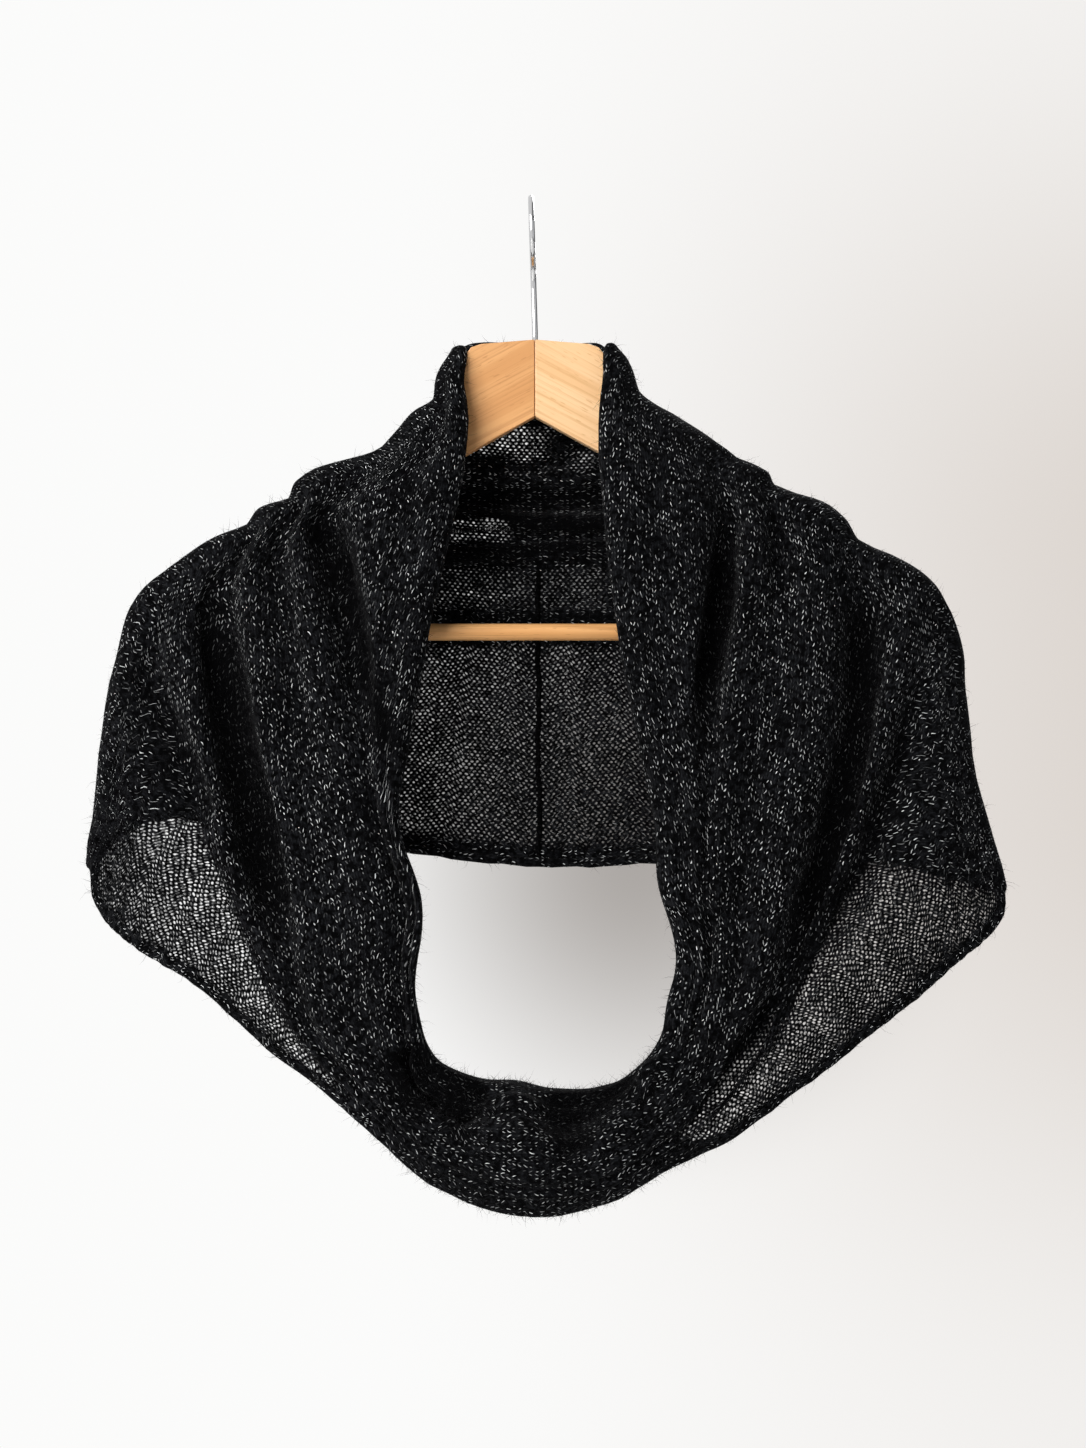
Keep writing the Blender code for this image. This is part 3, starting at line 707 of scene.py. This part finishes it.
def splitUp(vector):
    return addNode(vector.id_data, "ShaderNodeSeparateXYZ", [vector]).outputs


def addBump(shader, height, distance, strength=1.0):
    bump = addNode(shader.id_data, "ShaderNodeBump",
                   {"Strength": strength, "Distance": distance, "Height": height})
    feed(shader.inputs["Normal"], bump.outputs[0])


# A new material with its shader and the object's own coordinates
def newMaterial(name):
    material = bpy.data.materials.new(name)
    material.use_nodes = True
    nodes = material.node_tree.nodes
    return material, nodes["Principled BSDF"], nodes.new("ShaderNodeTexCoord").outputs["Object"]


knit = {
    "slant": 1.5,  # courses that a stitch leg climbs across half a wale
    "wander": 1.5,  # how far stitches stray from their rows, in millimetres
    "holeWander": 0.3,  # of that, for the pinholes
    "yarn": (0.0010, 0.0010, 0.0012, 1),
    "yarnWispsAndHighlight": (0.0175, 0.0185, 0.0215, 1),
    "fleck": (0.84, 0.86, 0.87, 1),
    "fleckDim": (0.035, 0.035, 0.037, 1),
    "fleckShare": 0.56,
    "fleckHalfWidth": 0.235,
    "fleckLength": (1.1, 0.45),  # chance adds up to the first to the second
    "fleckStray": (0.55, 0.17),  # along the leg and beside it
    "fleckBow": 0.12,
    "fleckEdge": (0.55, 1.25),
    "holeHalfLength": 0.98,  # along the row
    "holeHalfHeight": 0.7,
    "holeSize": (1.75, -0.62),  # grows with the openness, from below nothing
    "relief": 0.6,
}


def knitMaterial():
    material, shader, place = newMaterial("Charcoal tweed knit")
    tree = material.node_tree
    openness, paintedShade = [addNode(tree, "ShaderNodeAttribute", attribute_name=name).outputs["Fac"]
                        for name in ("openness", "paintedShade")]
    placeAlong, placeAcross, _ = splitUp(addNode(tree, "ShaderNodeUVMap", uv_map="knit").outputs[0])
    shifted = addNode(tree, "ShaderNodeVectorMath", (place, (3.1, 1.7, 0.4)), operation="ADD")
    strayAlong = spread(noiseAt(place, 110), knit["wander"] * mm)
    strayAcross = spread(noiseAt(shifted.outputs[0], 90), knit["wander"] * mm)
    courseLength, waleWidth = band["courseLength"], band["waleWidth"]
    courses = over(plus(placeAlong, strayAlong), courseLength * mm)
    wales = over(plus(placeAcross, strayAcross), waleWidth * mm)

    # Stitch legs: half wales that lean left and right in turn
    halves = times(wales, 2.0)
    column = calc("FLOOR", halves)
    sideways = centred(halves)
    lean = scaled(calc("FLOORED_MODULO", column, 2.0), 2.0, -1.0)
    leaned = times(sideways, lean)
    climb = scaled(leaned, knit["slant"], courses)
    course = calc("FLOOR", climb)
    upward = centred(climb)
    leg = times(calc("SQRT", hump(upward, 2.0)), hump(sideways, 2.5))

    # Light flecks lie along some of the legs
    cell = addNode(tree, "ShaderNodeCombineXYZ", (column, course))
    chance = addNode(tree, "ShaderNodeTexWhiteNoise", [cell.outputs[0]], noise_dimensions="2D")
    odds = addNode(tree, "ShaderNodeSeparateColor", [chance.outputs["Color"]])
    tilt = math.atan(waleWidth / 2 / (knit["slant"] * courseLength))
    high = times(scaled(leaned, -knit["slant"], upward), courseLength)
    wide = times(leaned, waleWidth / 2)
    along = minus(times(high, math.cos(tilt)), times(wide, math.sin(tilt)))
    beside = plus(times(wide, math.cos(tilt)), times(high, math.sin(tilt)))
    beside = plus(beside, times(spread(odds.outputs[1], knit["fleckBow"]), power(along, 2.0)))
    along = plus(along, spread(odds.outputs[0], knit["fleckStray"][0]))
    beside = plus(beside, spread(odds.outputs[2], knit["fleckStray"][1]))
    longness = scaled(odds.outputs[1], *knit["fleckLength"])
    ellipse = squares(over(along, longness), over(beside, knit["fleckHalfWidth"]))
    shape = ramp(ellipse, *knit["fleckEdge"], 1.0, 0.0)
    chosen = calc("LESS_THAN", chance.outputs["Value"], knit["fleckShare"])
    # Flecks fade where the net is open and in the painted shade of the troughs
    shown = times(ramp(openness, 0.3, 0.8, 1.0, 0.25), ramp(paintedShade, 0.2, 0.9, 1.0, 0.1))
    fleck = times(times(shape, chosen), shown)
    bright = power(over(chance.outputs["Value"], knit["fleckShare"]), 2.1)

    # Pinholes sit where four legs meet
    holeCourses = over(scaled(strayAlong, knit["holeWander"], placeAlong), courseLength * mm)
    holeWales = over(scaled(strayAcross, knit["holeWander"], placeAcross), waleWidth * mm)

    def holeDistance(courseShift, waleShift):
        off = times(centred(plus(holeCourses, courseShift)), courseLength / knit["holeHalfLength"])
        side = times(centred(plus(holeWales, waleShift)), waleWidth / knit["holeHalfHeight"])
        return squares(off, side)

    nearest = calc("SQRT", calc("MINIMUM", holeDistance(0.25, 0.5), holeDistance(-0.25, 0.0)))
    single = noiseAt(place, 560, 0.0)
    uneven = plus(spread(noiseAt(place, 55, 1.0), 0.3), spread(single, 0.35))
    radius = plus(scaled(calc("SQRT", openness), *knit["holeSize"]), uneven)
    hole = ramp(minus(nearest, radius), -0.35, 0.2, 1.0, 0.0)
    clear = calc("MULTIPLY", times(hole, power(openness, 2.3)),
                 ramp(single, 0.30, 0.66, 0.2, 1.15), clamp=True)

    haze = noiseAt(place, 900, 2.0, 0.7)
    tangle = ramp(noiseAt(place, 330, 1.0), 0.38, 0.68)
    wisps = times(times(haze, tangle), scaled(noiseAt(place, 45, 2.0), 1.6, -0.1))
    # The wisps are the fuzz's own mottled tone; the stitch-leg factor paints a highlight on each leg's
    # crown and shade between the legs
    wispsAndLegHighlight = calc("MULTIPLY", wisps, scaled(leg, 1.3, 0.5), clamp=True)
    # Painted shade: the yarn darkens in the troughs
    wispsAndLegHighlight = times(wispsAndLegHighlight, ramp(paintedShade, 0.1, 0.9, 1.0, 0.1))
    yarn = blendColour(wispsAndLegHighlight, knit["yarn"], knit["yarnWispsAndHighlight"])
    fleckColour = blendColour(bright, knit["fleckDim"], knit["fleck"])
    addBump(shader, plus(scaled(haze, 0.9, times(leg, tangle)), times(fleck, 0.25)),
            knit["relief"] * mm)
    feedAll(shader, {
        "Base Color": blendColour(fleck, yarn, fleckColour),
        "Alpha": calc("SUBTRACT", 1.0, clear, clamp=True),
        "Roughness": 0.9,
        "Specular IOR Level": 0.02,
        "Sheen Weight": 0.02,
        "Sheen Roughness": 0.45,
        "Sheen Tint": (0.75, 0.75, 0.78, 1),
    })
    return material


fuzz = {
    "hairs": 18000,  # in each of the fuzz pieces
    "pieces": ("scarf_fuzz_left", "scarf_fuzz_right", "scarf_fuzz_back", "scarf_fuzz_cowl"),
    "kinds": [  # four fine hairs, then a short thick end of yarn
        {"length": 6.5, "radius": 0.10, "bend": 0.6, "sway": 0.5},
        {"length": 5.0, "radius": 0.11, "bend": 1.2, "sway": -0.7},
        {"length": 8.0, "radius": 0.09, "bend": 1.6, "sway": 0.2},
        {"length": 3.6, "radius": 0.12, "bend": 1.0, "sway": -0.3},
        {"length": 2.0, "radius": 0.24, "bend": 2.0, "sway": 0.4},
    ],
    "shortest": 0.35,
    "longest": 1.4,
    "flattest": 0.25,  # radians between the lowest hairs and the cloth
    "bounds": (7, 17, 2.2, 21.8),  # sections where the left, right and cowl's hairs meet
    "colour": (0.022, 0.022, 0.024, 1),
}


# One hair stands up from the origin and bends over
def makeHair(name, settings):
    length = settings["length"] * mm
    mesh = bmesh.new()
    bmesh.ops.create_cone(mesh, cap_ends=True, cap_tris=False, segments=3, radius1=settings["radius"] * mm,
                          radius2=0.0, depth=length)
    bmesh.ops.translate(mesh, verts=mesh.verts, vec=(0, 0, length / 2))
    upright = [edge for edge in mesh.edges if abs(edge.verts[0].co.z - edge.verts[1].co.z) > length / 2]
    bmesh.ops.subdivide_edges(mesh, edges=upright, cuts=1)
    for vert in mesh.verts:
        share = vert.co.z / length
        vert.co.x += length * settings["bend"] * 0.4 * share ** 2
        vert.co.y += length * settings["sway"] * 0.3 * share ** 2
        vert.co.z *= 1 - 0.12 * settings["bend"] * share
    bmesh.ops.triangulate(mesh, faces=mesh.faces)
    return bpy.data.objects.new(name, meshData(mesh, name))


def fuzzNodes(hairs, seed, perArea):
    tree = bpy.data.node_groups.new("Fuzz", "GeometryNodeTree")
    for way in ("INPUT", "OUTPUT"):
        tree.interface.new_socket("Geometry", in_out=way, socket_type="NodeSocketGeometry")
    start = addNode(tree, "NodeGroupInput")
    end = addNode(tree, "NodeGroupOutput")
    scatter = addNode(tree, "GeometryNodeDistributePointsOnFaces",
                      {"Mesh": start.outputs[0], "Density": perArea, "Seed": seed})
    source = addNode(tree, "GeometryNodeCollectionInfo", (hairs, True, True), transform_space="ORIGINAL")
    random = "FunctionNodeRandomValue"
    kind = addNode(tree, random, {4: 0, 5: len(fuzz["kinds"]) - 1, "Seed": seed + 1}, data_type="INT")
    low, high = (fuzz["flattest"], 0.0, -math.pi), (math.pi - fuzz["flattest"], 0.0, math.pi)
    turn = addNode(tree, random, {0: low, 1: high, "Seed": seed + 2}, data_type="FLOAT_VECTOR")
    asTurn = addNode(tree, "FunctionNodeEulerToRotation", [turn.outputs[0]])
    aimed = addNode(tree, "FunctionNodeRotateRotation", (scatter.outputs["Rotation"], asTurn.outputs[0]),
                    rotation_space="LOCAL")
    low, high = math.sqrt(fuzz["shortest"]), math.sqrt(fuzz["longest"])
    size = addNode(tree, random, {2: low, 3: high, "Seed": seed + 3}, data_type="FLOAT")
    plant = addNode(tree, "GeometryNodeInstanceOnPoints", {
        "Points": scatter.outputs["Points"],
        "Instance": source.outputs[0],
        "Pick Instance": True,
        "Instance Index": kind.outputs[2],
        "Rotation": aimed.outputs[0],
        "Scale": times(size.outputs[1], size.outputs[1]),
    })
    whole = addNode(tree, "GeometryNodeRealizeInstances", [plant.outputs[0]])
    feed(end.inputs[0], whole.outputs[0])
    return tree


# Hairs on a bare copy of each quarter of the cloth: left, right, back and cowl
def makeFuzz(places, surface, material):
    hairs = bpy.data.collections.new("hairs")
    for kind, settings in enumerate(fuzz["kinds"]):
        hairs.objects.link(makeHair("hair" + str(kind), settings))
    columns = np.arange(len(places))
    left, right, cowlLeft, cowlRight = np.interp(fuzz["bounds"], places, columns).astype(int)
    spans = (columns[cowlLeft:left + 2], columns[right:cowlRight + 2], columns[left:right + 2],
             np.concatenate([columns[cowlRight:-1], columns[:cowlLeft + 2]]))
    made = []
    for seed, (name, span) in enumerate(zip(fuzz["pieces"], spans)):
        patch = addObject(name, gridData(name, surface[span])[0])
        area = sum(face.area for face in patch.data.polygons)
        hair = patch.modifiers.new("Fuzz", "NODES")
        hair.node_group = fuzzNodes(hairs, 10 * seed, fuzz["hairs"] / area)
        data = evaluatedMesh(patch)
        data.name = name
        patch.modifiers.clear()
        patch.data = data
        setMaterial(data, material)
        data.shade_smooth()
        print(name, len(data.polygons), "faces")
        made.append(patch)
    for thing in list(hairs.objects):
        bpy.data.objects.remove(thing)
    return made


def fuzzMaterial():
    material, shader, place = newMaterial("Brushed fuzz")
    dark = (*(part * 0.4 for part in fuzz["colour"][:3]), 1)
    feedAll(shader, {
        "Base Color": blendColour(noiseAt(place, 300), dark, fuzz["colour"]),
        "Roughness": 0.7,
        "Specular IOR Level": 0.05,
    })
    return material


wood = {
    "left": {"tones": ((0.66, 0.32, 0.12, 1), (0.76, 0.40, 0.165, 1), (0.50, 0.215, 0.07, 1)), "turn": 28},
    "right": {"tones": ((0.85, 0.52, 0.26, 1), (0.92, 0.61, 0.34, 1), (0.66, 0.34, 0.135, 1)), "turn": -28},
    "bar": {"tones": ((0.66, 0.32, 0.11, 1), (0.86, 0.47, 0.19, 1), (0.42, 0.18, 0.05, 1)), "turn": 0},
}


# Grain runs along X and is turned in the plane of the board
def woodMaterial(name, settings):
    material, shader, place = newMaterial(name)
    tree = material.node_tree
    turn = (0, math.radians(settings["turn"]), 0)
    turned = addNode(tree, "ShaderNodeMapping", {0: place, "Rotation": turn})

    def grain(along, across, detail, roughness=0.6):
        node = addNode(tree, "ShaderNodeMapping", {0: turned.outputs[0], "Scale": (along, across, across)})
        return noiseAt(node.outputs[0], 1.0, detail, roughness)

    base, pale, dark = settings["tones"]
    fine = grain(14, 700, 2.0)
    colour = blendColour(ramp(grain(4, 120, 3.0), 0.35, 0.65), base, pale)
    colour = blendColour(ramp(fine, 0.46, 0.72, 0.0, 0.55), colour, dark)
    colour = blendColour(ramp(grain(160, 1500, 0.0, 0.5), 0.70, 0.80, 0.0, 0.6), colour, dark)
    addBump(shader, fine, 0.15 * mm, 0.25)
    feedAll(shader, {
        "Base Color": colour,
        "Roughness": ramp(fine, 0.2, 0.8, 0.36, 0.5),
        "Specular IOR Level": 0.3,
        "Coat Weight": 0.08,
        "Coat Roughness": 0.3,
    })
    return material


def chromeMaterial():
    material, shader, place = newMaterial("Chrome wire")
    roughness = ramp(noiseAt(place, 500), 0.3, 0.7, 0.06, 0.14)
    feedAll(shader, {"Base Color": (0.76, 0.76, 0.77, 1), "Metallic": 1.0, "Roughness": roughness})
    return material


# The hook again, with its facets smoothed over
def makeHook(material):
    mesh = bmesh.new()
    mesh.from_mesh(frame["nodes"]["hanger_hook"].data)
    bmesh.ops.remove_doubles(mesh, verts=mesh.verts, dist=sameSpot)
    data = meshData(mesh, "hook_wire")
    data.shade_smooth()
    setMaterial(data, material)
    return addObject("hook_wire", data)


seam = {
    "radius": 1.6,
    "sink": 0.9,
    "pitch": 3.6,  # of the thread turns
    "turns": (0.82, 1.1, 0.98),
    "flatAbove": -212,
    "flat": 0.75,
    "sway": ((0.5, 11.0), (0.3, 3.4)),
}


# The join at the centre back: a puckered ridge on the inside of the cloth
def makeSeam(places, surface, material):
    column = int(np.argmin(np.abs(places - halfRing)))
    rows = slice(band["rollRows"] + 1, -band["hemRows"])
    line, inward = surface[column, rows], -surfaceNormals(surface)[column, rows]
    reach = travelled(line)
    steps = np.arange(0, reach[-1], seam["pitch"] / 3)
    path, side = [np.stack([np.interp(steps, reach, part[:, axis]) for axis in range(3)], axis=1)
                  for part in (line, inward)]
    flatter = smooth(seam["flatAbove"] - 8, seam["flatAbove"] + 8, path[:, 2])
    path = path + side * (seam["sink"] * (1 - flatter))[:, None]
    for height, size in seam["sway"]:
        path[:, 0] += height * np.sin(steps / size)
    curve = bpy.data.curves.new("scarf_back_join", "CURVE")
    curve.dimensions = "3D"
    curve.bevel_depth = seam["radius"] * mm
    curve.bevel_resolution = 2
    curve.use_fill_caps = True
    spline = curve.splines.new("POLY")
    spline.points.add(len(path) - 1)
    for index, (point, at) in enumerate(zip(spline.points, path)):
        point.co = (*(at * mm), 1)
        point.radius = seam["turns"][index % 3] * (1 - seam["flat"] * flatter[index])
    drawn = addObject("scarf_back_join", curve)
    tube = evaluatedMesh(drawn)
    bpy.data.objects.remove(drawn)
    setMaterial(tube, material)
    tube.shade_smooth()
    print("seam", len(path), "steps")
    return addObject("scarf_back_join", tube)


def seamMaterial():
    material, shader, place = newMaterial("Join yarn")
    speck = noiseAt(place, 600, 2.0, 0.7)
    tone = blendColour(ramp(speck, 0.45, 0.75), (0.0006, 0.0006, 0.0007, 1), (0.006, 0.006, 0.0065, 1))
    addBump(shader, speck, 0.6 * mm)
    feedAll(shader, {"Base Color": tone, "Roughness": 0.95, "Specular IOR Level": 0.02})
    return material


view = {"distance": 1.9, "height": -303.3, "across": 6.96, "frame": 0.8398}
studio = {
    "key": {"size": 2.2, "power": 116, "place": (-1.65, -2.1, 0.9), "colour": (1.0, 0.99, 0.97)},
    "fill": {"size": 2.4, "power": 9, "place": (2.0, -1.8, 0.1), "colour": (0.96, 0.98, 1.0)},
    "behind": {"size": 1.6, "power": 60, "place": (0.9, 2.8, 0.9), "colour": (1.0, 0.99, 0.98)},
    "target": (0, 0, -0.35),
    "world": 0.09,
    "pale": (0.965, 0.965, 0.96, 1),
    "shaded": (0.715, 0.665, 0.625, 1),
    # A painted shadow of the scarf on the backdrop, seen through the neck opening
    "paintedWallShadow": (0.41, 0.386, 0.368, 1),  # seen through the neck opening
    "paintedWallShadowPlace": (0.03, -0.04),
    "paintedWallShadowReach": 0.11,
    "floor": {"radius": 3.1, "height": -1.45, "glow": 0.4},
}


def makeCamera():
    data = bpy.data.cameras.new("camera")
    data.sensor_fit = "VERTICAL"
    data.sensor_height = 36
    data.lens = data.sensor_height * view["distance"] / view["frame"]
    camera = addObject("camera", data)
    camera.location = (view["across"] * mm, -view["distance"], view["height"] * mm)
    camera.rotation_euler = (math.radians(90), 0, 0)
    bpy.context.scene.camera = camera


def makeLight(name):
    settings = studio[name]
    data = bpy.data.lights.new(name, "AREA")
    data.size = settings["size"]
    data.energy = settings["power"]
    data.color = settings["colour"]
    lamp = addObject(name, data)
    lamp.location = settings["place"]
    lamp.rotation_euler = (Vector(studio["target"]) - lamp.location).to_track_quat("-Z", "Y").to_euler()
    lamp.visible_camera = False


def makeFloor():
    settings = studio["floor"]
    mesh = bmesh.new()
    bmesh.ops.create_circle(mesh, cap_ends=True, segments=96, radius=settings["radius"])
    bmesh.ops.translate(mesh, verts=mesh.verts, vec=(0, 0, settings["height"]))
    floor = addObject("floor", meshData(mesh, "floor"))
    material, shader, place = newMaterial("Pale floor")
    tone = blendColour(noiseAt(place, 40), (0.90, 0.90, 0.89, 1), (0.95, 0.95, 0.94, 1))
    # Pale all over for the camera, but it lights nothing
    seen = addNode(material.node_tree, "ShaderNodeLightPath").outputs["Is Camera Ray"]
    feedAll(shader, {"Base Color": tone, "Roughness": 0.8, "Emission Color": tone,
                     "Emission Strength": times(seen, settings["glow"])})
    floor.data.materials.append(material)


def makeWorld():
    world = bpy.data.worlds.new("pale studio")
    world.use_nodes = True
    tree = world.node_tree
    background = tree.nodes["Background"]
    x, _, z = splitUp(addNode(tree, "ShaderNodeTexCoord").outputs["Generated"])
    share = times(ramp(x, -0.06, 0.20), ramp(z, -0.22, -0.02, 0.35, 1.0))
    share = times(share, ramp(z, 0.05, 0.24, 1.0, 0.3))
    wall = blendColour(share, studio["pale"], studio["shaded"])
    # Painted shadow: the backdrop darkens in a soft spot seen through the neck opening
    away = squares(minus(x, studio["paintedWallShadowPlace"][0]), minus(z, studio["paintedWallShadowPlace"][1]))
    paintedWallShadowSpot = ramp(calc("SQRT", away), 0.0, studio["paintedWallShadowReach"], 1.0, 0.0)
    seen = addNode(tree, "ShaderNodeBackground", [blendColour(paintedWallShadowSpot, wall, studio["paintedWallShadow"])])
    feedAll(background, ((0.9, 0.95, 1.0, 1), studio["world"]))
    path = addNode(tree, "ShaderNodeLightPath")
    mirrored = times(path.outputs["Is Glossy Ray"], ramp(x, 0.1, 0.6, 0.75, 0.1))
    share = calc("MAXIMUM", path.outputs["Is Camera Ray"], mirrored)
    both = addNode(tree, "ShaderNodeMixShader", (share, background.outputs[0], seen.outputs[0]))
    feed(tree.nodes["World Output"].inputs[0], both.outputs[0])
    bpy.context.scene.world = world


makeCamera()
makeWorld()
for lampName in ("key", "fill", "behind"):
    makeLight(lampName)
makeFloor()
bpy.context.scene.view_settings.view_transform = "Standard"
print("studio ready")

cloth, clothPlaces, clothSurface = makeCloth()
cloth.data.materials.append(knitMaterial())
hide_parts("scarf_left_front", "scarf_left_back", "scarf_right_back", "scarf_right_front",
            "scarf_cowl")
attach(cloth, "root")

join = makeSeam(clothPlaces, clothSurface, seamMaterial())
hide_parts("scarf_back_seam")
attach(join, "root")

halo = makeFuzz(clothPlaces, clothSurface, fuzzMaterial())
for piece in halo:
    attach(piece, "root")

boards = (("hanger_left_arm", "Warm board", "left"), ("hanger_right_arm", "Pale board", "right"),
          ("hanger_bar", "Honey bar", "bar"))
for nodeName, materialName, tones in boards:
    setMaterial(frame["nodes"][nodeName].data, woodMaterial(materialName, wood[tones]))
hook = makeHook(chromeMaterial())
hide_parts("hanger_hook")
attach(hook, "root")
print("hanger dressed")
